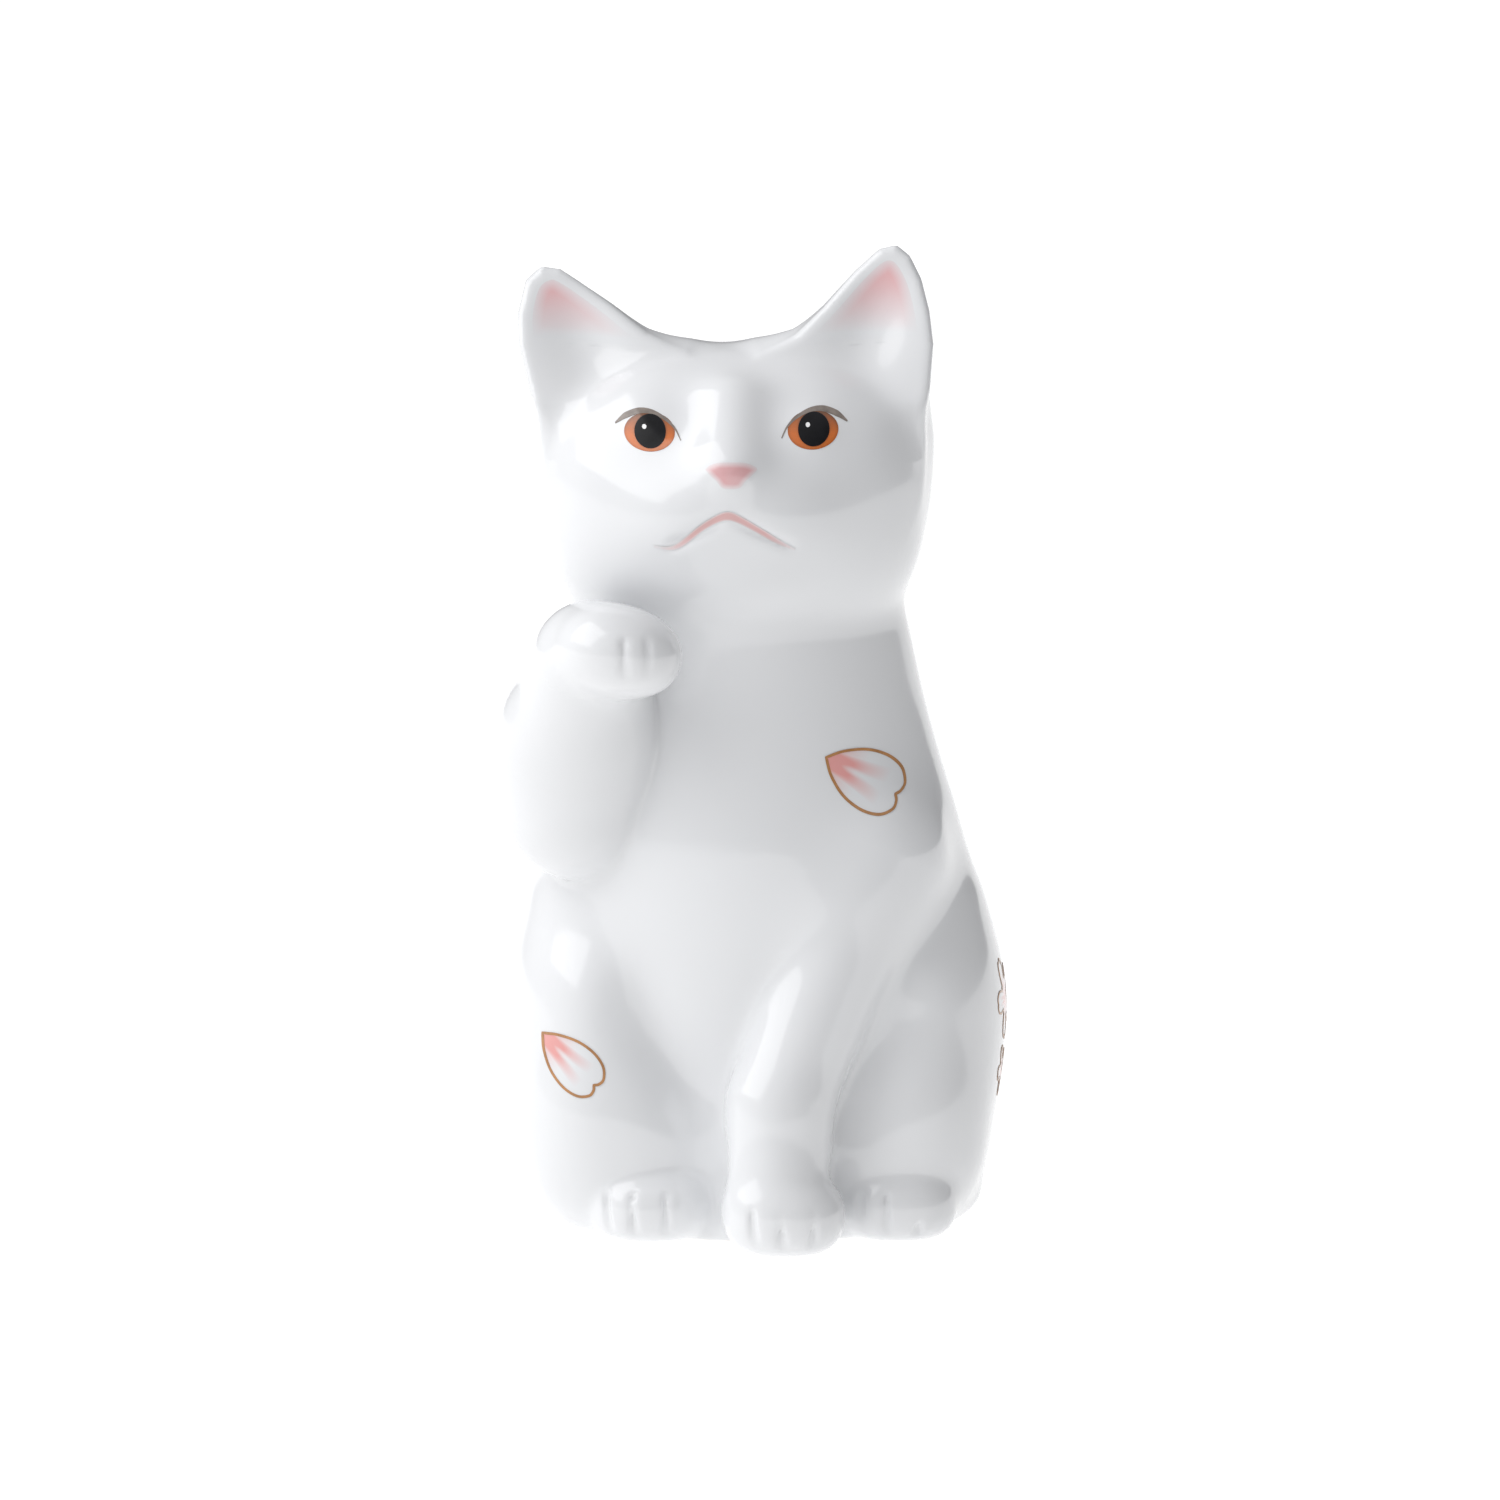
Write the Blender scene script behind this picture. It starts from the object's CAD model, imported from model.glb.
"""Seated beckoning cat in glazed porcelain with fired enamels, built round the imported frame."""
import math

import bmesh
import bpy
import numpy as np
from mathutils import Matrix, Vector
from mathutils.geometry import delaunay_2d_cdt


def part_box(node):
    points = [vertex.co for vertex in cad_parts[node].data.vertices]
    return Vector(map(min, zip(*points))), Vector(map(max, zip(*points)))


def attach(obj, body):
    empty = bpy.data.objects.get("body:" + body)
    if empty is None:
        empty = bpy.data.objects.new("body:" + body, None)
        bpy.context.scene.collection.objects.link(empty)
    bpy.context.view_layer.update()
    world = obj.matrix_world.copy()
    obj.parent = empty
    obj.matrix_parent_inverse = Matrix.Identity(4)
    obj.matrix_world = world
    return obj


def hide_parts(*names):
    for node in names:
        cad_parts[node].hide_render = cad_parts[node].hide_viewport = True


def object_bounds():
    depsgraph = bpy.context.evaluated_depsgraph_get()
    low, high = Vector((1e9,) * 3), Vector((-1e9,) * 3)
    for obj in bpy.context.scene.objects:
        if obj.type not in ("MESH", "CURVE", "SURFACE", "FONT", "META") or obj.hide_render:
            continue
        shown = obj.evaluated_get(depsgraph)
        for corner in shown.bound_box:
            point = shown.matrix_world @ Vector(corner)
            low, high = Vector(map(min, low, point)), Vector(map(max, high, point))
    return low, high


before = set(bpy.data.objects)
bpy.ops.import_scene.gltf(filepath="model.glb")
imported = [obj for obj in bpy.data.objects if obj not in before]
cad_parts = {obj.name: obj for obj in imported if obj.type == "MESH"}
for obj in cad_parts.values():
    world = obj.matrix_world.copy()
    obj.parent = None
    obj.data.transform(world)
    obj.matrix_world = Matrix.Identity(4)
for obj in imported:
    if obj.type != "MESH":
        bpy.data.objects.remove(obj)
cad_box = [[float(c) for c in corner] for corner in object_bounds()]
MM = 0.001
GRID = 0.7  # spacing of the sculpting grid, mm


def box_mm(node):
    low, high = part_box(node)
    return np.array(low) / MM, np.array(high) / MM


def middle_mm(node):
    low, high = box_mm(node)
    return (low + high) / 2


# ---- Clay: signed distances in mm, negative inside the clay ---------------------------------
def steps(edge0, edge1, t):
    t = np.clip((t - edge0) / (edge1 - edge0), 0, 1)
    return t * t * (3 - 2 * t)


def melt(a, b, k):
    """Join two lumps of clay with a fillet about k wide."""
    h = np.maximum(k - np.abs(a - b), 0) / k
    return np.minimum(a, b) - h * h * h * k / 6


def carve(a, b, k):
    """Take b out of a with a soft edge."""
    return -melt(-a, b, k)


def egg(p, middle, radii, power=2.0, turn=None):
    q = p - np.array(middle)
    if turn is not None:
        q = q @ turn
    q = np.abs(q) / np.array(radii)
    size = (q**power).sum(1) ** (1 / power)
    rise = q ** (power - 1) / np.maximum(size, 1e-6)[:, None] ** (power - 1) / np.array(radii)
    slope = np.sqrt((rise**2).sum(1))
    return (size - 1) / np.maximum(slope, 1e-3)


def roll(p, start, end, start_radius, end_radius):
    """A rolled limb: thick at one end and thin at the other, round at both."""
    start, end = np.array(start, float), np.array(end, float)
    axis = end - start
    t = np.clip(((p - start) @ axis) / (axis @ axis), 0, 1)
    return np.linalg.norm(p - start - t[:, None] * axis, axis=1) - (start_radius + t * (end_radius - start_radius))


def thrown(p, rings):
    """An oval form with a changing section: height, half width, half depth, middle in X, in Y."""
    rings = np.array(rings)
    z = np.clip(p[:, 2], rings[0, 0], rings[-1, 0])
    fine = np.linspace(rings[0, 0], rings[-1, 0], 120)
    soft = [np.interp(fine, rings[:, 0], rings[:, i]) for i in range(1, 5)]
    kernel = np.hanning(15) / np.hanning(15).sum()
    soft = [np.convolve(np.pad(s, 7, mode="reflect", reflect_type="odd"), kernel, mode="valid") for s in soft]
    half_x, half_y, mid_x, mid_y = (np.interp(z, fine, s) for s in soft)
    u, v = (p[:, 0] - mid_x) / half_x, (p[:, 1] - mid_y) / half_y
    size = np.hypot(u, v)
    slope = np.hypot(u / half_x, v / half_y) / np.maximum(size, 1e-6)
    return (size - 1) / np.maximum(slope, 1e-3)


def swell(p, middle, radii):
    """A soft bump, 1 in its middle and 0 a little beyond its radii."""
    return np.exp(-(((p - np.array(middle)) / np.array(radii)) ** 2).sum(1))


def groove(p, start, end, width, fade=2.0):
    """A tooled line between two points: 1 along its middle, fading at its ends."""
    start, end = np.array(start, float), np.array(end, float)
    axis = end - start
    length = np.linalg.norm(axis)
    t = ((p - start) @ axis) / length
    off = p - start - np.clip(t, 0, length)[:, None] * axis / length
    ends = steps(-fade * 0.2, fade, t) * steps(-fade * 0.2, fade, length - t)
    return np.exp(-(off**2).sum(1) / width**2) * ends


def outline_distance(x, z, corners):
    """Signed distance to a closed outline in the XZ plane, negative inside."""
    corners = np.array(corners, float)
    best = np.full(len(x), 1e9)
    inside = np.zeros(len(x), bool)
    for (ax, az), (bx, bz) in zip(corners, np.roll(corners, -1, axis=0)):
        ex, ez = bx - ax, bz - az
        wx, wz = x - ax, z - az
        t = np.clip((wx * ex + wz * ez) / (ex * ex + ez * ez), 0, 1)
        best = np.minimum(best, np.hypot(wx - ex * t, wz - ez * t))
        crosses = ((az > z) != (bz > z)) & (wx < ex * (z - az) / (ez if ez else 1e-9))
        inside ^= crosses
    return np.where(inside, -best, best)


BODY_LOW, BODY_HIGH = box_mm("body_casting")
HEAD_LOW, HEAD_HIGH = box_mm("head_casting")
NECK_Z = BODY_HIGH[2]
HEAD_X = (HEAD_LOW[0] + HEAD_HIGH[0]) / 2
HEAD_HALF = (HEAD_HIGH[0] - HEAD_LOW[0]) / 2 - 0.3
HEAD_TOP = HEAD_HIGH[2]
SKULL = (HEAD_X, HEAD_HIGH[1] - 26.2, HEAD_TOP - 26.9)
EYES = [middle_mm("iris_right"), middle_mm("iris_left")]
NOSE = middle_mm("nose")
MOUTH_LOW, MOUTH_HIGH = box_mm("mouth_line")
MOUTH_X = (MOUTH_LOW[0] + MOUTH_HIGH[0]) / 2 - 0.5
BLOSSOM_REACH = 1.24  # from a blossom's heart to the end of a petal, in petal lengths
TORSO_TOP = 114  # inside the head
NECK_FILLET = 4.0
HOLLOW_WALL = 5.5
FOOT_RING_Z = 0.35  # the glaze is wiped off below this

# Soft valleys between belly, thighs and foreleg: start, end, width and depth.
VALLEYS = (
    ((-24, -28, 46), (-8, -28, 20), 6.0, 1.2),
    ((-8, -29, 20), (-6, -34, 6), 4.0, 1.8),
    ((30, -24, 44), (14, -30, 16), 6.0, 1.0),
    ((14, -31, 16), (12.5, -34, 6), 4.0, 1.6),
)
TORSO_RINGS = (
    (-6.0, 35.8, 34.0, 1.3, 6.2),
    (0.0, 37.4, 34.8, 1.3, 6.2),
    (10.0, 38.3, 33.8, 1.1, 7.2),
    (24.0, 37.9, 32.6, 0.6, 7.6),
    (40.0, 37.4, 33.4, 0.4, 5.4),
    (57.0, 36.6, 33.6, 0.0, 2.8),
    (67.0, 35.3, 32.6, -0.4, 1.5),
    (77.0, 32.7, 30.2, -1.0, 1.0),
    (88.0, 30.2, 27.4, -1.5, 0.6),
    (98.0, 28.6, 25.2, -2.0, 0.2),
    (106.0, 27.6, 24.2, -2.8, -0.4),
    (118.0, 28.0, 23.0, -3.0, -1.0),
)
RIGHT_EAR = (
    (-30.0, 126), (-34.2, 134), (-36.6, 142), (-38.4, 149), (-38.6, 153.5), (-37.4, 158.6), (-35.2, 160.6),
    (-32.4, 160.2), (-24, 154.6), (-18, 150.2), (-12, 147), (-8, 138), (-14, 126),
)
LEFT_EAR = (
    (23.5, 126), (27.0, 134), (28.8, 142), (29.4, 149), (28.8, 154), (27.5, 159), (25.7, 162.6), (23.8, 164.2),
    (21.4, 163.6), (17.6, 160.2), (12.2, 154.4), (7.4, 150), (2, 147), (0, 138), (8, 126),
)
DISC_LOW, DISC_HIGH = box_mm("foot_disc")
FOOT_OPENING = (*((DISC_HIGH - DISC_LOW)[:2] / 2), 1.0)
PAW_TILT = np.array(((math.cos(0.2), 0, math.sin(0.2)), (0, 1, 0), (-math.sin(0.2), 0, math.cos(0.2))))
TAIL_TURN = np.radians(np.linspace(20, -60, 11))  # round the back of the foot, from its root to its tip
TAIL_REACH = 32.2 - 7.0 * steps(-0.1, 0.4, TAIL_TURN)  # its root is buried in the back
TAIL_RUN = np.stack(
    [1 + 38 * np.sin(TAIL_TURN), 7 + TAIL_REACH * np.cos(TAIL_TURN), 7.2 + 16 * steps(-0.75, 0.45, TAIL_TURN)], 1
)
TAIL_THICK = np.linspace(8.2, 6.0, 11)
# Grooves between toes: where each starts, and its depth. The last two are on the raised paw.
TOES = (
    (0.2, -43.6, 1.0, 0.75), (4.8, -44.0, 1.0, 0.75), (9.9, -43.2, 1.0, 0.75),
    (-24.0, -30.1, 1.0, 0.7), (-19.8, -31.7, 1.0, 0.7), (-14.5, -31.9, 1.0, 0.7),
    (18.0, -30.8, 1.0, 0.7), (22.4, -31.4, 1.0, 0.7), (27.4, -30.4, 1.0, 0.7),
    (-21.0, -45.2, 97.0, 0.45), (-17.0, -44.8, 97.0, 0.45),
)


def ear_clay(p, outline, tip_z, dish_middle, lean):
    """A flat ear with a shallow dish in its front and soft rims."""
    x, y, z = p.T
    edge = outline_distance(x, z + 0.8, outline) - 0.7
    height = np.clip((z - 130) / (tip_z - 130), 0, 1)
    inside = np.clip(-edge, 0, 20)
    mid_y = -8.0 + 10.0 * height
    thick = 14.0 - 11.2 * height
    along = (x - dish_middle[0]) * math.sin(lean) + (z - dish_middle[1]) * math.cos(lean)
    across = (x - dish_middle[0]) * math.cos(lean) - (z - dish_middle[1]) * math.sin(lean)
    dish = 2.3 * np.exp(-((along / 10.5) ** 2) - (across / 6.2) ** 2)
    front = mid_y - thick * 0.5 + dish + 7.0 * steps(140, 127, z)
    back = mid_y + thick * 0.5 + 2.2 * steps(0, 9, inside)
    slab = -melt(-(front - y), -(y - back), 2.0)
    return -melt(-edge, -slab, 2.4)


def head_clay(p):
    skull = egg(p, SKULL, (HEAD_HALF, 26.0, 26.0), power=2.45)
    brow = p @ np.array((0, -0.64, 0.768)) - (SKULL[1] * -0.64 + SKULL[2] * 0.768) - 26.3
    skull = carve(skull, -brow, 11.0)
    face = melt(skull, egg(p, (HEAD_X - 0.4, -16.5, 121.0), (18.0, 13.5, 13.5), power=2.2), 9.0)
    face = melt(face, roll(p, (HEAD_X - 0.4, -16.0, 138.0), (HEAD_X - 0.8, -23.8, 131.0), 4.6, 5.4), 9.0)
    face = melt(face, egg(p, (HEAD_X - 0.4, -18.5, 113.5), (12.0, 10.0, 8.0)), 7.0)
    shape = np.zeros(len(p))
    for eye, side in zip(EYES, (-1, 1)):
        shape -= 0.85 * swell(p, (eye[0] - side * 1.5, eye[1], eye[2] - 0.5), (10.5, 9, 8.0))
        shape += 1.2 * swell(p, (eye[0], eye[1], eye[2]), (5.2, 6, 4.6))
        shape += 0.7 * swell(p, (eye[0] - side * 1, eye[1] + 3, eye[2] + 8.0), (10, 9, 5))
        shape += 0.6 * swell(p, (HEAD_X + side * 8.0, -27, 122.5), (9, 9, 7))
    shape -= 0.8 * swell(p, (MOUTH_X, -30, MOUTH_LOW[2] - 2.5), (13, 8, 4.5))
    shape += 0.9 * swell(p, (NOSE[0], -31, NOSE[2] + 0.5), (4.6, 5, 3.4))
    for side, end in ((-1, MOUTH_LOW[0]), (1, MOUTH_HIGH[0])):
        shape -= 0.55 * groove(
            p, (MOUTH_X, -32.2, MOUTH_HIGH[2] - 1.5), (end, -28.0, MOUTH_LOW[2] - 0.4), 1.2, fade=3.0
        )
    return face - shape


def lumps(p):
    """Every lump of clay on its own: the seams between castings run where two are equally near."""
    z = p[:, 2]
    torso = np.maximum(thrown(p, TORSO_RINGS), z - TORSO_TOP)
    body = torso
    for side in (-1, 1):
        hip = egg(p, (side * 24.2, 3.0, 33.5), (18.4 + 0.3 * side, 29.0, 28.5), power=2.1)
        knee = egg(p, (side * 22.6, -10.5, 17.0), (16.6, 18.6, 19.0), power=2.3)
        body = melt(body, melt(hip, knee, 9.0), 5.0 + 5.0 * steps(30, 12, z) + 5.0 * steps(42, 56, z))
    upper_leg = roll(p, (20.0, -16.5, 64.0), (4.6, -30.2, 24.0), 11.0, 8.6)
    lower_leg = roll(p, (4.6, -30.2, 24.0), (4.0, -33.2, 9.0), 8.6, 9.2)
    body = melt(body, melt(upper_leg, lower_leg, 5.0), 5.0 + 7.0 * steps(44, 62, z))
    for start, end, wide, deep in VALLEYS:
        body = body + deep * groove(p, start, end, wide, fade=9.0)
    body = melt(body, egg(p, (5.2, -34.9, 6.4), (10.1, 9.2, 7.6), power=2.2), 3.0)
    body = melt(body, egg(p, (-17.0, -21.2, 5.6), (10.6, 10.8, 7.4), power=2.3), 2.4)
    body = melt(body, egg(p, (24.0, -20.8, 5.6), (10.2, 10.6, 7.4), power=2.3), 2.4)

    elbow = roll(p, (-28.6, -15.5, 72.6), (-28.6, -18.0, 84.0), 13.2, 13.6)
    sleeve = melt(elbow, roll(p, (-28.6, -18.0, 84.0), (-27.0, -28.5, 99.2), 13.4, 9.4), 5.0)
    curled = egg(p, (-21.9, -35.6, 101.4), (10.3, 9.3, 7.6), power=2.1, turn=PAW_TILT)
    arm = melt(sleeve, curled, 5.5)

    ears = ear_clay(p, RIGHT_EAR, 161, (-28.6, 148.5), -0.5), ear_clay(p, LEFT_EAR, 165, (19.6, 151.5), 0.32)
    tail = roll(p, TAIL_RUN[0], TAIL_RUN[1], TAIL_THICK[0], TAIL_THICK[1])
    for start, end, thick, thin in zip(TAIL_RUN[1:], TAIL_RUN[2:], TAIL_THICK[1:], TAIL_THICK[2:]):
        tail = np.minimum(tail, roll(p, start, end, thick, thin))
    return body, head_clay(p), *ears, arm, tail


def form(p):
    """The outside of the whole cat."""
    body, head, right_ear, left_ear, arm, tail = lumps(p)
    crease = 2.2 + 6.5 * steps(-9, 1, p[:, 1])  # sharp in front of the ears, smooth behind them
    crease = crease + 9.0 * steps(150, 128, p[:, 2])  # and low down on the cheeks
    head = melt(melt(head, right_ear, crease), left_ear, crease)
    clay = melt(melt(body, head, NECK_FILLET), arm, 2.2)
    clay = melt(clay, tail, 2.0 + 6.0 * steps(12, 26, p[:, 2]))  # the tail grows smoothly out of the back
    for x, y, z, depth in TOES:
        clay = clay + depth * groove(p, (x, y, z), (x - 0.2, y + 1.6, z + 8.5), 0.8)
    return -melt(-clay, p[:, 2], 3.0)


def opened(p):
    """The cat with the opening in its foot and the hollow above it."""
    x, y, z = p.T
    oval = egg(p * (1, 1, 0), ((DISC_LOW + DISC_HIGH) / 2 * (1, 1, 0)), FOOT_OPENING)
    mouth = np.maximum(oval, z - DISC_HIGH[2])
    dome = np.maximum(DISC_HIGH[2] - z, egg(p, (0, 4, 10), (33, 32, 42)))
    hollow = np.maximum(thrown(p, TORSO_RINGS) + HOLLOW_WALL, dome)
    return np.maximum(form(p), -np.minimum(mouth, hollow))


def downhill(p, shape):
    """Which way the clay's surface faces."""
    reach = 0.06
    lift = [shape(p + d) - shape(p - d) for d in np.eye(3) * reach]
    slope = np.stack(lift, 1) / (2 * reach)
    return slope


def settle(p, shape, turns=3):
    """Move points on to the clay's surface."""
    for _ in range(turns):
        slope = downhill(p, shape)
        step = shape(p) / np.maximum((slope**2).sum(1), 0.05)
        p = p - np.clip(step, -0.8, 0.8)[:, None] * slope
    return p


def skin(shape, low, high, cell):
    """Points and four-sided faces over the surface of a form, one point to a grid cell."""
    block = 4
    count = np.ceil((high - low) / (cell * block)).astype(int)
    coarse = np.stack(np.meshgrid(*(np.arange(n) for n in count), indexing="ij"), -1).reshape(-1, 3)
    centre = low + (coarse + 0.5 - 0.5 / block) * cell * block
    rough = shape(centre)
    values = np.where(rough < 0, -9.0, 9.0).reshape(count)
    for axis in range(3):
        values = np.repeat(values, block, axis)
    near = coarse[np.abs(rough) < cell * block * 1.7]
    inner = np.stack(np.meshgrid(*(np.arange(block),) * 3, indexing="ij"), -1).reshape(-1, 3)
    nodes = (near[:, None] * block + inner[None]).reshape(-1, 3)
    for part in np.array_split(nodes, max(1, len(nodes) // 200000)):
        values[tuple(part.T)] = shape(low + part * cell)

    solid = values < 0
    spans = [slice(0, -1), slice(1, None)]
    total = sum(solid[a, b, c].astype(np.int8) for a in spans for b in spans for c in spans)
    cells = np.argwhere((total > 0) & (total < 8))
    number = np.full(total.shape, -1)
    number[tuple(cells.T)] = np.arange(len(cells))
    place, hits = np.zeros((len(cells), 3)), np.zeros(len(cells))
    for axis in range(3):
        for shift in ((0, 0), (0, 1), (1, 0), (1, 1)):
            start = np.insert(np.array(shift), axis, 0)
            end = np.insert(np.array(shift), axis, 1)
            a, b = values[tuple((cells + start).T)], values[tuple((cells + end).T)]
            crossed = (a < 0) != (b < 0)
            t = np.where(crossed, a / np.where(crossed, a - b, 1), 0)
            place += crossed[:, None] * (start + t[:, None] * (end - start))
            hits += crossed
    points = low + (cells + place / hits[:, None]) * cell

    quads = []
    for axis in range(3):
        here = [slice(1, -1)] * 3
        here[axis] = slice(0, -1)
        there = list(here)
        there[axis] = slice(1, None)
        edge = solid[tuple(here)] != solid[tuple(there)]
        corner = np.argwhere(edge) + [0 if i == axis else 1 for i in range(3)]
        u, v = [np.eye(3, dtype=int)[i] for i in range(3) if i != axis]
        ring = [number[tuple((corner - a * u - b * v).T)] for a, b in ((0, 0), (1, 0), (1, 1), (0, 1))]
        quad = np.stack(ring, 1)
        outward = solid[tuple(corner.T)] == (axis != 1)
        quad[~outward] = quad[~outward][:, ::-1]
        quads.append(quad)
    return points, np.concatenate(quads)


def cut_apart(points, tris, field):
    """Split triangles where the field changes sign; gives the points, and both sides' triangles."""
    field = np.where(np.abs(field) < 1e-6, 1e-6, field)
    above = field > 0
    mixed = above[tris].any(1) & ~above[tris].all(1)
    keep_above, keep_below = tris[above[tris].all(1)], tris[~above[tris].any(1)]
    new_points, made = [], {}

    def crossing(i, j):
        key = (min(i, j), max(i, j))
        if key not in made:
            t = field[i] / (field[i] - field[j])
            made[key] = len(points) + len(new_points)
            new_points.append(points[i] + t * (points[j] - points[i]))
        return made[key]

    up, down = [], []
    for tri in tris[mixed]:
        lone = [k for k in range(3) if above[tri[k]] != above[tri[k - 1]] and above[tri[k]] != above[tri[k - 2]]][0]
        a, b, c = tri[lone], tri[(lone + 1) % 3], tri[(lone + 2) % 3]
        ab, ac = crossing(a, b), crossing(a, c)
        (up if above[a] else down).append((a, ab, ac))
        (down if above[a] else up).extend(((ab, b, c), (ab, c, ac)))
    if new_points:
        points = np.concatenate([points, new_points])
    join = lambda kept, added: np.concatenate([kept, added]) if added else kept
    return points, join(keep_above, up), join(keep_below, down)


# ---- Finishes --------------------------------------------------------------------------------
class Mix:
    """A value or colour on its way through a finish's nodes. Arithmetic on it adds Math nodes."""

    def __init__(self, tree, socket):
        self.tree, self.socket = tree, socket

    def node(self, kind, settings=None, sockets=None, output=0):
        made = self.tree.nodes.new(kind)
        for name, value in (settings or {}).items():
            setattr(made, name, value)
        for name, value in (sockets or {}).items():
            socket = made.inputs[name]
            if isinstance(value, Mix):
                self.tree.links.new(value.socket, socket)
            elif hasattr(socket.default_value, "__len__") and len(socket.default_value) == 4 and len(value) == 3:
                socket.default_value = (*value, 1)
            else:
                socket.default_value = value
        return Mix(self.tree, made.outputs[output])

    def maths(self, operation, first, second=0.0, clamp=False):
        return self.node("ShaderNodeMath", {"operation": operation, "use_clamp": clamp}, {0: first, 1: second})

    def __add__(self, other):
        return self.maths("ADD", self, other)

    def __sub__(self, other):
        return self.maths("SUBTRACT", self, other)

    def __rsub__(self, other):
        return self.maths("SUBTRACT", other, self)

    def __mul__(self, other):
        return self.maths("MULTIPLY", self, other)

    def __truediv__(self, other):
        return self.maths("DIVIDE", self, other)

    def __pow__(self, other):
        return self.maths("POWER", self, other)

    def axes(self):
        """The X, Y and Z of a vector."""
        split = self.node("ShaderNodeSeparateXYZ", {}, {"Vector": self})
        return [Mix(self.tree, socket) for socket in split.socket.node.outputs]

    def above(self, low, high):
        """0 below low, 1 above high, and an even rise between them."""
        return self.maths("MULTIPLY", self - low, 1 / (high - low), clamp=True)

    def blend(self, under, over):
        """Colour under where this value is 0, and colour over where it is 1."""
        return self.node("ShaderNodeMix", {"data_type": "RGBA"}, {0: self, 6: under, 7: over}, output=2)

    __radd__, __rmul__ = __add__, __mul__


def finish_named(name, **constants):
    """A new finish: its nodes, and the shader that they feed."""
    material = bpy.data.materials.new(name)
    material.use_nodes = True
    shader = material.node_tree.nodes["Principled BSDF"]
    for socket, value in constants.items():
        shader.inputs[socket.replace("_", " ")].default_value = value
    place = Mix(material.node_tree, None).node("ShaderNodeTexCoord", output="Object")
    return material, shader, place


def feed(shader, socket, value):
    value.tree.links.new(value.socket, shader.inputs[socket])


WHITE = (0.80, 0.81, 0.825)
GLAZE = dict(IOR=1.5, Coat_Weight=0.35, Coat_Roughness=0.04, Coat_IOR=1.5)


def waviness(place):
    """The slow unevenness of a fired glaze, and a few pinholes."""
    slow = place.node("ShaderNodeTexNoise", {}, {"Vector": place, "Scale": 55.0, "Detail": 1.5, "Roughness": 0.4})
    pores = place.node("ShaderNodeTexVoronoi", {}, {"Vector": place, "Scale": 420.0}).above(0.0, 0.09)
    sparse = place.node("ShaderNodeTexNoise", {}, {"Vector": place, "Scale": 160.0}).above(0.60, 0.66)
    height = slow - (1 - pores) * sparse * 0.06
    return place.node("ShaderNodeBump", {}, {"Strength": 0.12, "Distance": 0.0004, "Height": height})


def glazed_white():
    material, shader, place = finish_named("glazed_porcelain", **GLAZE)
    cloud = place.node("ShaderNodeTexNoise", {}, {"Vector": place, "Scale": 22.0, "Detail": 3.0}).above(0.35, 0.68)
    feed(shader, "Base Color", cloud.blend(WHITE, (0.812, 0.82, 0.832)))
    fine = place.node("ShaderNodeTexNoise", {}, {"Vector": place, "Scale": 90.0, "Detail": 2.0})
    feed(shader, "Roughness", fine * 0.05 + 0.13)
    feed(shader, "Normal", waviness(place))
    return material


def bisque():
    """Bare fired clay: warm, dry and slightly gritty."""
    material, shader, place = finish_named("bare_bisque", IOR=1.45)
    grit = place.node("ShaderNodeTexNoise", {}, {"Vector": place, "Scale": 900.0, "Detail": 4.0})
    stain = place.node("ShaderNodeTexNoise", {}, {"Vector": place, "Scale": 60.0, "Detail": 3.0}).above(0.4, 0.75)
    feed(shader, "Base Color", stain.blend((0.78, 0.765, 0.73), (0.70, 0.675, 0.63)))
    feed(shader, "Roughness", grit * 0.15 + 0.72)
    feed(shader, "Normal", place.node("ShaderNodeBump", {}, {"Strength": 0.4, "Distance": 0.0003, "Height": grit}))
    return material


def enamel(name, colour, deep, roughness=0.14, gloss=GLAZE):
    """An even fired enamel, slightly mottled where it lies thicker."""
    material, shader, place = finish_named(name, **gloss)
    mottle = place.node("ShaderNodeTexNoise", {}, {"Vector": place, "Scale": 500.0, "Detail": 3.0}).above(0.35, 0.7)
    feed(shader, "Base Color", mottle.blend(colour, deep))
    feed(shader, "Roughness", mottle * 0.04 + roughness)
    feed(shader, "Normal", waviness(place))
    return material


def faded(name, colour, pattern, under=WHITE):
    """An enamel that thins out into the colour under it where its pattern falls to 0."""
    material, shader, place = finish_named(name, **GLAZE)
    spot = place.node("ShaderNodeAttribute", {"attribute_name": "spot"}, {}, output="Vector")
    strength = pattern(place, *spot.axes())
    feed(shader, "Base Color", strength.blend(under, colour))
    feed(shader, "Roughness", strength * 0.03 + 0.15)
    feed(shader, "Normal", waviness(place))
    return material


def dots(u, v, pitch, size):
    """A printed screen of round dots, 1 on each dot."""
    wave, cross = (u.maths("SINE", axis * (2 * math.pi / pitch)) for axis in (u, v))
    return (wave * cross).above(1 - size, 1.2 - size)


def soft_noise(place, scale):
    return place.node("ShaderNodeTexNoise", {}, {"Vector": place, "Scale": scale, "Detail": 2.0})


def nose_pattern(place, u, v, edge):
    return edge.above(-0.25, 0.9) * (0.80 + soft_noise(place, 400.0) * 0.3)


def mouth_pattern(place, u, v, edge):
    ends = 1 - u.maths("ABSOLUTE", u).above(0.55, 1.0) * 0.65
    return edge.above(-0.15, 0.3) * ends


def ear_pattern(place, u, v, edge):
    return edge.above(0.0, 2.4) * v.above(0.30, 0.78) * (0.66 + soft_noise(place, 120.0) * 0.4)


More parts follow.
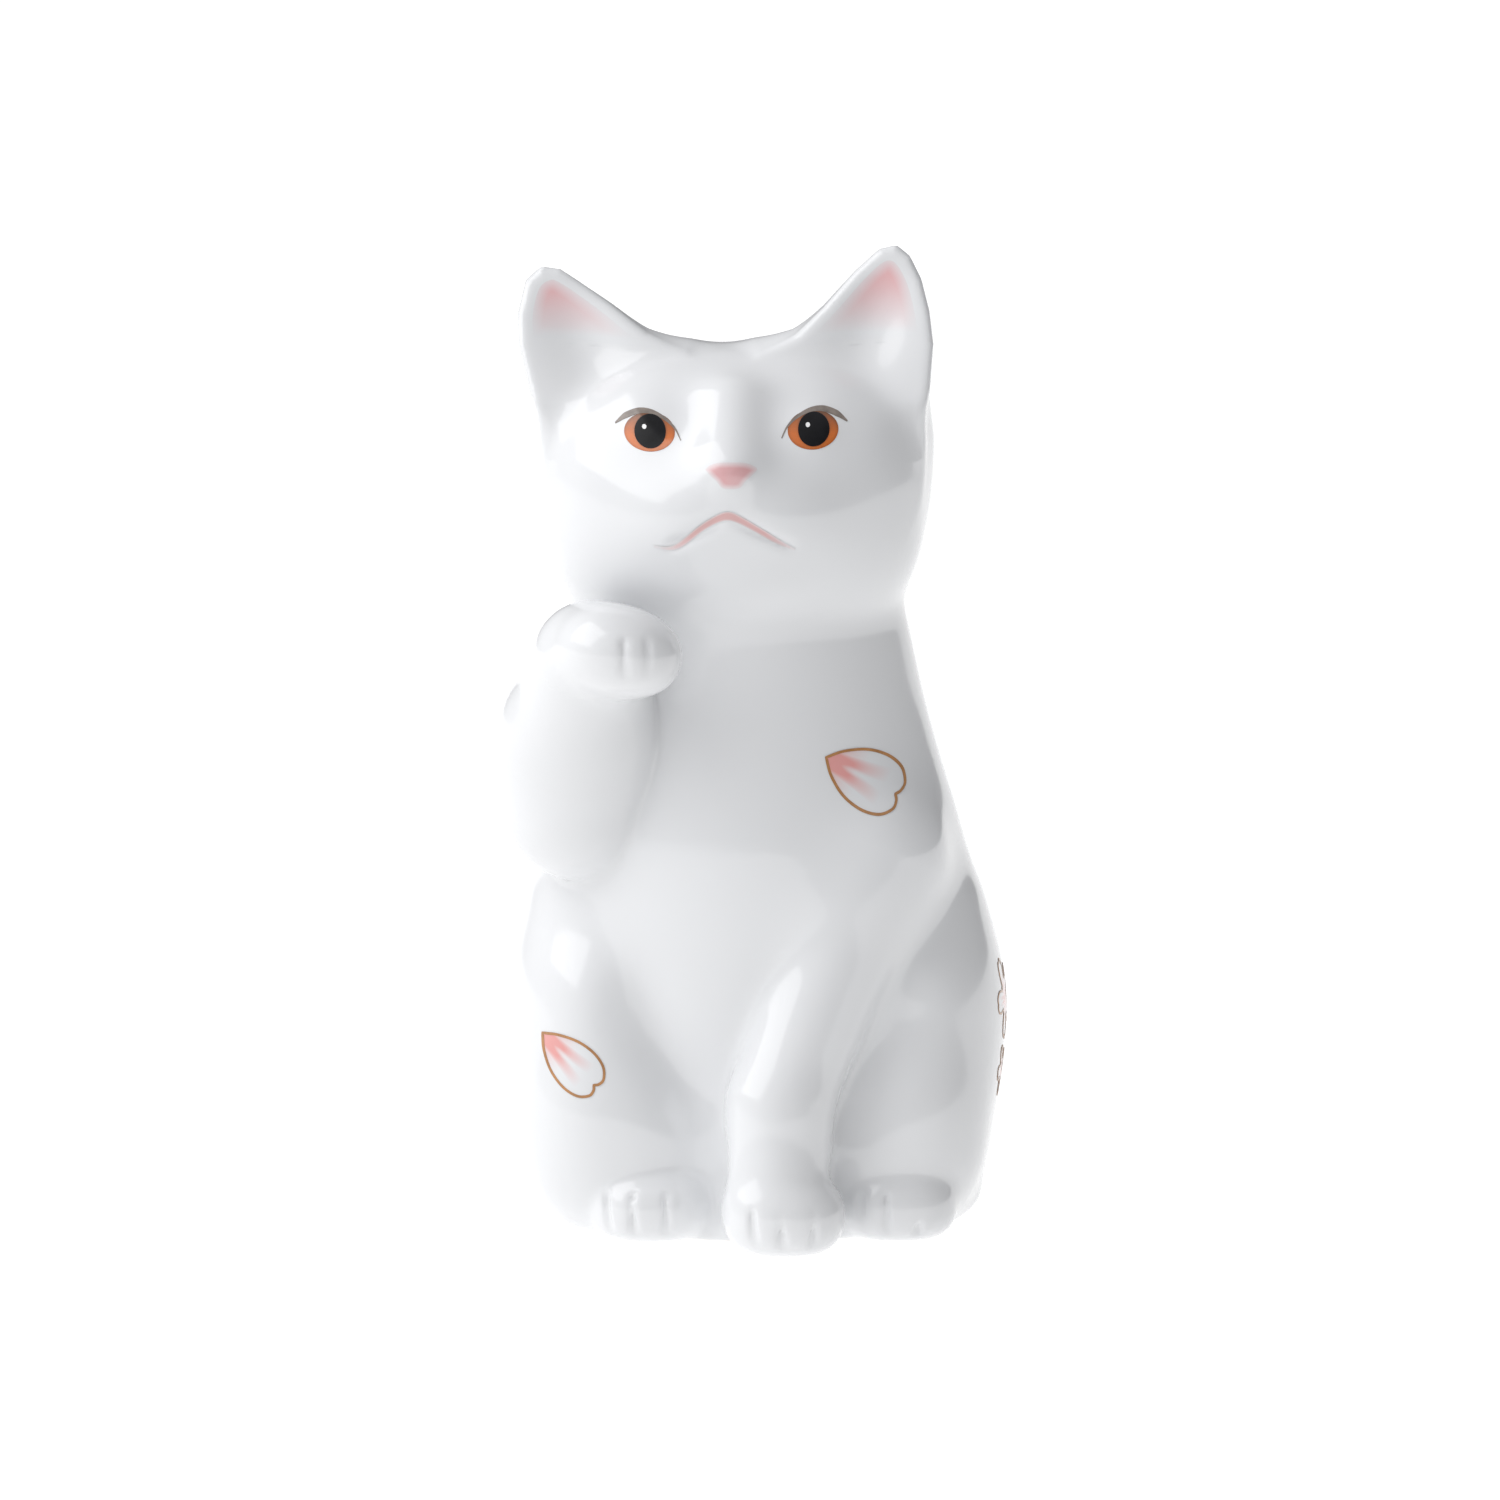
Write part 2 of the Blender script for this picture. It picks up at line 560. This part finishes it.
def petal_pattern(place, u, v, edge):
    """Pink that starts at the petal's point and runs out along two streaks."""
    side = v.maths("ABSOLUTE", v)
    base = (1 - u.above(0.0, 0.5)) ** 1.3
    off = (side - u * 0.16 - 0.01) / 0.09
    streak = (1 - (off * off).above(0.0, 1.0)) * (1 - u.above(0.35, 0.80))
    bright = (1 - (side / 0.05).above(0.3, 1.0)) * u.above(0.18, 0.4)
    return (base * 0.9 + streak * 0.8) * (1 - bright * 0.6)


def iris_pattern(place, u, v, edge):
    """Dark amber under the lid and round the pupil, printed in fine dots."""
    upper = v.above(-0.2, 0.9)
    screen = dots(u * 4.2 + v * 3.2, u * 4.2 - v * 3.2, 0.42, 0.55)
    return upper * 0.8 + screen * 0.22 + (1 - edge.above(0.0, 0.5)) * 0.35


# ---- Making the pieces -----------------------------------------------------------------------
def new_piece(name, points, faces, materials, normals=None, spots=None):
    mesh = bpy.data.meshes.new(name)
    mesh.from_pydata((np.asarray(points) * MM).tolist(), [], [list(map(int, f)) for f in faces])
    mesh.update()
    piece = bpy.data.objects.new(name, mesh)
    bpy.context.collection.objects.link(piece)
    for material in materials:
        mesh.materials.append(material)
    mesh.polygons.foreach_set("use_smooth", [True] * len(mesh.polygons))
    if spots is not None:
        layer = mesh.attributes.new("spot", "FLOAT_VECTOR", "POINT")
        layer.data.foreach_set("vector", np.asarray(spots, np.float32).ravel())
    if normals is not None:
        mesh.normals_split_custom_set_from_vertices(normals.tolist())
    return piece


def unit(v):
    return v / np.maximum(np.linalg.norm(v, axis=1), 1e-9)[:, None]


def casting(name, points, tris, shape, materials, nodes):
    """One casting as a closed piece: its own part of the skin, closed over where it is luted on."""
    used, index = np.unique(tris, return_inverse=True)
    points, tris = points[used], index.reshape(-1, 3)
    clay = bmesh.new()
    verts = [clay.verts.new(p * MM) for p in points]
    for tri in tris:
        if len(set(tri)) == 3:
            try:
                clay.faces.new([verts[i] for i in tri])
            except ValueError:
                pass
    clay.edges.ensure_lookup_table()
    open_edges = [e for e in clay.edges if e.is_boundary]
    caps = bmesh.ops.holes_fill(clay, edges=open_edges, sides=0)["faces"]
    bmesh.ops.triangulate(clay, faces=caps)
    clay.verts.index_update()
    faces = [[v.index for v in f.verts] for f in clay.faces]
    clay.free()
    piece = new_piece(name, points, faces, materials, normals=unit(downhill(points, shape)))
    if len(materials) > 1:
        tops = np.array([max(points[i][2] for i in f) for f in faces])
        piece.data.polygons.foreach_set("material_index", (tops < FOOT_RING_Z).astype(int).tolist())
    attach(piece, "root")
    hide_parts(*nodes)


def sculpt():
    """Raise the skin of the whole cat, then cut it along its seams into the castings."""
    low, high = np.array(cad_box[0]) / MM - 4, np.array(cad_box[1]) / MM + 4
    points, quads = skin(opened, low, high, GRID)
    points = settle(points, opened)
    tris = np.concatenate([quads[:, (0, 1, 2)], quads[:, (0, 2, 3)]])

    def seam(kind):
        body, head, right_ear, left_ear, arm, tail = lumps(points)
        trunk = melt(body, head, NECK_FILLET)
        off = {"arm": arm - trunk, "tail": tail - body, "right": right_ear - head, "left": left_ear - head}[kind]
        return np.where(form(points) > -1.5, off, 5.0)

    found = {}
    for kind in ("arm", "tail", "right", "left"):
        points, tris, found[kind] = cut_apart(points, tris, seam(kind))
    points, found["head"], found["body"] = cut_apart(points, tris, points[:, 2] - NECK_Z)

    white, bare = glazed_white(), bisque()
    casting("body_glazed", points, found["body"], opened, [white, bare], ["body_casting"])
    casting("head_glazed", points, found["head"], form, [white], ["head_casting"])
    casting("ear_glazed_right", points, found["right"], form, [white], ["ear_right"])
    casting("ear_glazed_left", points, found["left"], form, [white], ["ear_left"])
    casting("arm_glazed", points, found["arm"], form, [white], ["beckoning_arm"])
    casting("tail_glazed", points, found["tail"], form, [white], ["tail"])
    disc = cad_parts["foot_disc"]
    disc.data.materials.clear()
    disc.data.materials.append(bare)


def meets_clay(flat, plane):
    """Carry flat points on to the cat: from the front for XZ points, from its left for YZ points."""
    if plane == "front":
        origin = np.stack([flat[:, 0], np.full(len(flat), -50.0), flat[:, 1]], 1)
        inward = np.array((0.0, 1.0, 0.0))
    else:
        origin = np.stack([np.full(len(flat), 48.0), flat[:, 0], flat[:, 1]], 1)
        inward = np.array((-1.0, 0.0, 0.0))
    travel = np.zeros(len(flat))
    near = np.zeros(len(flat), bool)
    for _ in range(34):
        outside = form(origin + travel[:, None] * inward) > 0
        near |= ~outside
        travel = np.where(near, travel, travel + 2.0)
    low, high = travel - 2.0, travel
    for _ in range(13):
        middle = (low + high) / 2
        outside = form(origin + middle[:, None] * inward) > 0
        low, high = np.where(outside, middle, low), np.where(outside, high, middle)
    return origin + high[:, None] * inward


def inside_loops(flat, loops):
    x, y = flat.T
    within = np.zeros(len(flat), bool)
    for loop in loops:
        for (ax, ay), (bx, by) in zip(loop, np.roll(loop, -1, axis=0)):
            within ^= ((ay > y) != (by > y)) & (x < (bx - ax) * (y - ay) / ((by - ay) or 1e-12) + ax)
    return within


def edge_gap(flat, loops):
    gap = np.full(len(flat), 1e9)
    for loop in loops:
        for a, b in zip(loop, np.roll(loop, -1, axis=0)):
            t = np.clip(((flat - a) @ (b - a)) / max((b - a) @ (b - a), 1e-12), 0, 1)
            gap = np.minimum(gap, np.linalg.norm(flat - a - t[:, None] * (b - a), axis=1))
    return gap


def transfer(name, loops, plane, material, node, local=None, lift=0.06, spacing=0.4, sinks=0.0):
    """An enamel as a closed layer that follows the clay: outline and holes are flat loops in mm.

    Below the height given as sinks, on its own v scale, the layer runs down into the glaze."""
    loops = [np.asarray(loop, float) for loop in loops]
    everything = np.concatenate(loops)
    low, high = everything.min(0), everything.max(0)
    lines = (np.arange(a, b, spacing) for a, b in zip(low, high))
    grid = np.stack(np.meshgrid(*lines, indexing="ij"), -1).reshape(-1, 2)
    grid = grid[inside_loops(grid, loops)]
    grid = grid[edge_gap(grid, loops) > spacing * 0.55] if len(grid) else grid
    edges, start = [], 0
    for loop in loops:
        n = len(loop)
        edges += [(start + i, start + (i + 1) % n) for i in range(n)]
        start += n
    flat = np.concatenate([everything, grid])
    verts, _, tris, *_ = delaunay_2d_cdt([Vector(v) for v in flat], edges, [], 0, 1e-6)
    flat = np.array([tuple(v) for v in verts])
    tris = np.array([t for t in tris if len(t) == 3])
    tris = tris[inside_loops(flat[tris].mean(1), loops)]
    points = meets_clay(flat, plane)
    facing = unit(downhill(points, form))
    count = len(points)
    first = np.cross(points[tris[0][1]] - points[tris[0][0]], points[tris[0][2]] - points[tris[0][0]])
    if first @ facing[tris[0][0]] < 0:
        tris = tris[:, ::-1]
    rim = {}
    for tri in tris:
        for a, b in zip(tri, np.roll(tri, -1)):
            rim[(a, b)] = rim.get((a, b), 0) + 1
    rim = [(a, b) for (a, b) in rim if (b, a) not in rim]
    faces = tris.tolist() + (tris[:, ::-1] + count).tolist()
    faces += [(b, a, a + count, b + count) for a, b in rim]
    gap = edge_gap(flat, loops)
    u, v = (local or (lambda f: f.T))(flat)
    proud = steps(0, sinks, v) * steps(0, 1.2, gap) if sinks else np.ones(count)
    rise = (lift * proud - 0.1 * (1 - proud))[:, None]
    shell = np.concatenate([points + facing * rise, points - facing * 0.2])
    spots = np.stack([u, v, gap], 1)
    normals, spots = np.concatenate([facing, facing]), np.concatenate([spots, spots])
    piece = new_piece(name, shell, faces, [material], normals=normals, spots=spots)
    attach(piece, "root")
    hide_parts(node)


def oval(middle, half_x, half_z, count=56):
    turn = np.linspace(0, 2 * math.pi, count, endpoint=False)
    return np.stack([middle[0] + half_x * np.cos(turn), middle[1] + half_z * np.sin(turn)], 1)


def curve(*knots, count=14):
    """A smooth line through knots (Catmull-Rom)."""
    knots = np.array(knots, float)
    padded = np.concatenate([[2 * knots[0] - knots[1]], knots, [2 * knots[-1] - knots[-2]]])
    runs = []
    for a, b, c, d in zip(padded, padded[1:], padded[2:], padded[3:]):
        t = np.linspace(0, 1, count, endpoint=False)[:, None]
        bend = (2 * a - 5 * b + 4 * c - d) * t**2 + (3 * b - a - 3 * c + d) * t**3
        runs.append(0.5 * (2 * b + (c - a) * t + bend))
    return np.concatenate(runs + [knots[-1:]])


def stroke(line, widths):
    """A brush stroke along a line, with its width given along it."""
    line = np.asarray(line)
    along = np.gradient(line, axis=0)
    across = np.stack([-along[:, 1], along[:, 0]], 1)
    across /= np.linalg.norm(across, axis=1)[:, None]
    half = np.interp(np.linspace(0, 1, len(line)), np.linspace(0, 1, len(widths)), widths)[:, None] / 2
    return np.concatenate([line + across * half, (line - across * half)[::-1]])


def eye_enamels(word, side, amber, black, spark, umber):
    """One eye: iris with a hole for its pupil, pupil, catch-light and upper lid line."""
    low, high = box_mm(f"iris_{word}")
    # Hand-placed transfers: each eye sits a little towards the nose, and the right one lower.
    slip = np.array((-side * 0.3, -0.8 + side * 0.17))
    middle = np.array((low[0] + high[0], low[2] + high[2])) / 2 + slip
    half = np.array(((high[0] - low[0]) / 2, (high[2] - low[2]) / 2 * 0.93))
    pupil = middle_mm(f"pupil_{word}")[[0, 2]] + slip + (0.12, 0.1)
    radius = (box_mm(f"pupil_{word}")[1] - box_mm(f"pupil_{word}")[0])[0] / 2
    spot = middle_mm(f"catchlight_{word}")[[0, 2]] + slip
    transfer(
        f"iris_enamel_{word}", [oval(middle, *half), oval(pupil, radius - 0.1, radius - 0.1, 40)],
        "front", amber, f"iris_{word}", local=lambda f: ((f - middle) / half).T, lift=0.05, spacing=0.35,
    )
    transfer(f"pupil_enamel_{word}", [oval(pupil, radius, radius, 48)], "front", black, f"pupil_{word}", lift=0.08)
    transfer(
        f"catchlight_enamel_{word}", [oval(spot, 0.36, 0.36, 16)], "front", spark, f"catchlight_{word}",
        lift=0.12, spacing=0.2,
    )
    low, high = box_mm(f"lid_line_{word}")
    low, high = (corner + (slip[0], 0, slip[1] - 0.5) for corner in (low, high))
    outer_x, inner_x = (low[0], high[0]) if side < 0 else (high[0], low[0])
    # Along the lid from its outer end, as a share of its width, and how far below its top.
    falls = ((0, 2.5), (0.16, 1.25), (0.36, 0.45), (0.56, 0.55), (0.76, 1.55), (0.91, 2.95))
    knots = [(outer_x + (inner_x - outer_x) * along, high[2] - fall) for along, fall in falls]
    lid = stroke(curve(*knots, (inner_x, low[2] + 0.1), count=8), (0.2, 0.85, 0.85, 0.66, 0.45, 0.28, 0.15))
    transfer(f"lid_enamel_{word}", [lid], "front", umber, f"lid_line_{word}", lift=0.07)


def nose_enamel():
    """A wide top with round corners, and sides that run in to a narrow foot."""
    low, high = box_mm("nose")
    x, wide = (low[0] + high[0]) / 2, (high[0] - low[0]) / 2 + 0.2
    top, bottom = high[2] - 1.0, low[2] + 0.4
    down = [
        (0.4, top), (0.8, top - 0.5), (1.0, top - 1.25), (0.78, top - 2.2), (0.56, bottom + 1.4), (0.3, bottom + 0.25),
    ]
    up = [(-share, z) for share, z in down[::-1]]
    ring = up[3:] + down + up[:4]  # from one corner over the top, and back to it
    outline = curve(*((x + wide * share, z) for share, z in ring), count=6)[:-1]
    pink = faded("pink_nose", (0.72, 0.40, 0.41), nose_pattern)
    transfer("nose_enamel", [outline], "front", pink, "nose", lift=0.08, spacing=0.3)


def mouth_enamel():
    """Two strokes that fall from the middle of the lip, the left one longer."""
    apex, fall = MOUTH_HIGH[2] - 1.3, MOUTH_LOW[2] - 0.4
    reach = (MOUTH_HIGH[0] - MOUTH_LOW[0]) / 2
    bow = curve(
        (MOUTH_X - reach - 1.2, fall + 0.35), (MOUTH_X - reach * 0.78, fall + 0.45),
        (MOUTH_X - reach * 0.40, apex - 2.1), (MOUTH_X - reach * 0.16, apex - 0.5), (MOUTH_X, apex),
        (MOUTH_X + reach * 0.16, apex - 0.6), (MOUTH_X + reach * 0.40, apex - 2.1),
        (MOUTH_X + reach * 0.78, apex - 4.7), (MOUTH_X + reach, fall), count=10,
    )
    pink = faded("pink_mouth", (0.70, 0.43, 0.42), mouth_pattern)
    transfer(
        "mouth_enamel", [stroke(bow, (0.3, 1.0, 1.2, 1.5, 1.2, 1.0, 0.3))], "front", pink, "mouth_line",
        local=lambda f: (((f[:, 0] - MOUTH_X) / reach), f[:, 1]), lift=0.13, spacing=0.3,
    )


def ear_blush(word, outline, blush):
    """Pink sprayed into the top of an ear, with its rim left white."""
    low, high = box_mm(f"ear_tint_{word}")
    bottom = low[2] - 6
    rim = np.array(outline, float)
    upper = rim[rim[:, 1] > bottom]
    heart = upper.mean(0) - (0, 0.9)
    inner = heart + (upper - upper.mean(0)) * 0.86
    loop = curve(*inner, inner[0], count=6)[:-1]
    transfer(
        f"ear_blush_{word}", [loop], "front", blush, f"ear_tint_{word}",
        local=lambda f: (f[:, 0], (f[:, 1] - bottom) / (high[2] - bottom)), lift=0.12, spacing=0.45, sinks=0.3,
    )


# One side of a notched cherry petal, from its point to its notch, for a petal 1 long.
PETAL_SIDE = ((0, 0), (0.16, 0.155), (0.40, 0.285), (0.66, 0.325), (0.88, 0.275), (1.0, 0.155), (1.0, 0.06), (0.955, 0))


def turned(angle):
    """Turns flat rows of points by an angle, when they are multiplied by it."""
    c, s = math.cos(angle), math.sin(angle)
    return np.array(((c, s), (-s, c)))


def petal_loop(length, start, angle):
    """The outline of a petal that points away from its start."""
    side = curve(*PETAL_SIDE, count=7)
    flat = np.concatenate([side, (side * (1, -1))[::-1][1:-1]]) * length
    return flat @ turned(angle) + start


def grown(loop, amount):
    """A loop moved outward, or inward where the amount is negative."""
    after, before = np.roll(loop, -1, 0), np.roll(loop, 1, 0)
    across = (after - before)[:, ::-1] * (1, -1)
    across /= np.maximum(np.linalg.norm(across, axis=1), 1e-9)[:, None]
    area = (loop[:, 0] * after[:, 1] - after[:, 0] * loop[:, 1]).sum()
    return loop + across * amount * (1 if area > 0 else -1)


def flower(word, loop, plane, pink, gold, local, half_line):
    """A pink fill, and the gold line round it."""
    line = [grown(loop, half_line), grown(loop, -half_line)]
    transfer(f"{word}_fill", [loop], plane, pink, f"{word}_tint", local=local, lift=0.04)
    transfer(f"{word}_gold", line, plane, gold, f"{word}_edge", lift=0.1, spacing=0.3)


def loose_petal(word, angle, length, rise, pink, gold):
    """One petal on the front, its point at its upper end."""
    low, high = box_mm(f"{word}_tint")
    start = np.array((low[0], high[2] + rise))
    flower(
        word, petal_loop(length, start, angle), "front", pink, gold,
        lambda f: ((f - start) @ turned(-angle) / length).T, 0.22,
    )


def blossom(word, pink, gold):
    """Five petals round a heart, on the left flank."""
    low, high = box_mm(f"{word}_edge")
    heart, reach = ((low + high) / 2)[1:], (high[2] - low[2]) / 2 / BLOSSOM_REACH
    leaf = petal_loop(reach, np.array((0.2 * reach, 0)), 0.0)
    side = leaf[: len(leaf) // 2 + 1]
    bearing = np.arctan2(side[:, 1], side[:, 0])
    widest = np.argmax(bearing)
    fifth = 2 * math.pi / 5
    turn = np.linspace(0, 2 * math.pi, 160, endpoint=False)
    within = np.abs((turn + fifth / 2) % fifth - fifth / 2)
    radius = np.interp(within, bearing[widest:][::-1], np.linalg.norm(side[widest:], axis=1)[::-1])
    loop = heart + radius[:, None] * np.stack([-np.cos(turn), np.sin(turn)], 1)

    def local(f):
        around = (np.arctan2(f[:, 1] - heart[1], heart[0] - f[:, 0]) + fifth / 2) % fifth - fifth / 2
        out = np.linalg.norm(f - heart, axis=1) / reach
        return out - 0.15, around * out

    flower(word, loop, "flank", pink, gold, local, 0.2)


def enamels():
    amber = faded("amber_iris", (0.16, 0.055, 0.018), iris_pattern, under=(0.66, 0.16, 0.022))
    black = enamel("black_pupil", (0.006, 0.006, 0.007), (0.010, 0.010, 0.012), roughness=0.22, gloss=dict(IOR=1.25))
    spark = enamel("catchlight_white", (0.9, 0.9, 0.9), (0.86, 0.86, 0.86))
    umber = enamel("umber_lid_line", (0.27, 0.225, 0.195), (0.16, 0.13, 0.11))
    for word, side in (("right", -1), ("left", 1)):
        eye_enamels(word, side, amber, black, spark, umber)
    nose_enamel()
    mouth_enamel()

    blush = faded("sprayed_ear_pink", (0.80, 0.43, 0.44), ear_pattern)
    for word, outline in (("right", RIGHT_EAR), ("left", LEFT_EAR)):
        ear_blush(word, outline, blush)

    pink = faded("petal_pink_streaks", (0.80, 0.38, 0.36), petal_pattern)
    gold = enamel("gold_line", (0.52, 0.26, 0.11), (0.40, 0.20, 0.085), roughness=0.22)
    loose_petal("chest_petal", -0.53, 14.0, 0.6, pink, gold)
    loose_petal("knee_petal", -0.72, 12.0, -0.2, pink, gold)
    for word in ("blossom", "lesser_blossom"):
        blossom(word, pink, gold)


sculpt()
enamels()


# ---- Studio ----------------------------------------------------------------------------------
def studio():
    floor_mesh = bpy.data.meshes.new("studio_floor")
    floor_mesh.from_pydata([(-6, -6, 0), (6, -6, 0), (6, 6, 0), (-6, 6, 0)], [], [(0, 1, 2, 3)])
    floor = bpy.data.objects.new("studio_floor", floor_mesh)
    bpy.context.collection.objects.link(floor)
    paper, shader, place = finish_named(
        "white_paper_floor", Roughness=0.9, Emission_Strength=0.88, Emission_Color=(1, 1, 1, 1)
    )
    grain = place.node("ShaderNodeTexNoise", {}, {"Vector": place, "Scale": 300.0}).above(0.3, 0.7)
    feed(shader, "Base Color", grain.blend((0.28, 0.28, 0.28), (0.30, 0.30, 0.30)))
    floor_mesh.materials.append(paper)

    world = bpy.data.worlds.new("studio_light")
    bpy.context.scene.world = world
    world.use_nodes = True
    sky = world.node_tree.nodes["Background"]
    start = Mix(world.node_tree, None)
    facing = start.node("ShaderNodeTexCoord", output="Generated")
    x, y, z = facing.axes()
    side = (x * -0.45 + y * 0.05 + z * 0.35 + 0.45).above(0.0, 1.0)
    soft = side.blend((0.02, 0.02, 0.022), (0.42, 0.42, 0.428))
    seen = start.node("ShaderNodeLightPath", output="Is Camera Ray")
    soft = (z * 0.9 - x * 0.45).above(0.15, 1.0).blend(soft, (0.92, 0.92, 0.935))
    feed(sky, "Color", seen.blend(soft, (1.02, 1.02, 1.02)))
    sky.inputs["Strength"].default_value = 1.0

    light = bpy.data.lights.new("softbox_left", "AREA")
    light.shape, light.size, light.size_y, light.energy = "RECTANGLE", 1.4, 1.4, 11.0
    lamp = bpy.data.objects.new("softbox_left", light)
    bpy.context.collection.objects.link(lamp)
    lamp.location = (-1.0, -0.30, 1.05)
    lamp.rotation_euler = (Vector((0, 0, 0.09)) - lamp.location).to_track_quat("-Z", "Y").to_euler()
    bpy.context.scene.view_settings.view_transform = "Standard"

    camera = bpy.data.objects.new("camera", bpy.data.cameras.new("camera"))
    bpy.context.collection.objects.link(camera)
    camera.data.lens, camera.data.sensor_width = 228, 36
    tilt, distance = math.radians(10.0), 1.6
    aim = Vector((-0.0005, 0.0, 0.0787))
    camera.location = aim + distance * Vector((0, -math.cos(tilt), math.sin(tilt)))
    camera.rotation_euler = (math.pi / 2 - tilt, 0, 0)
    bpy.context.scene.camera = camera


studio()
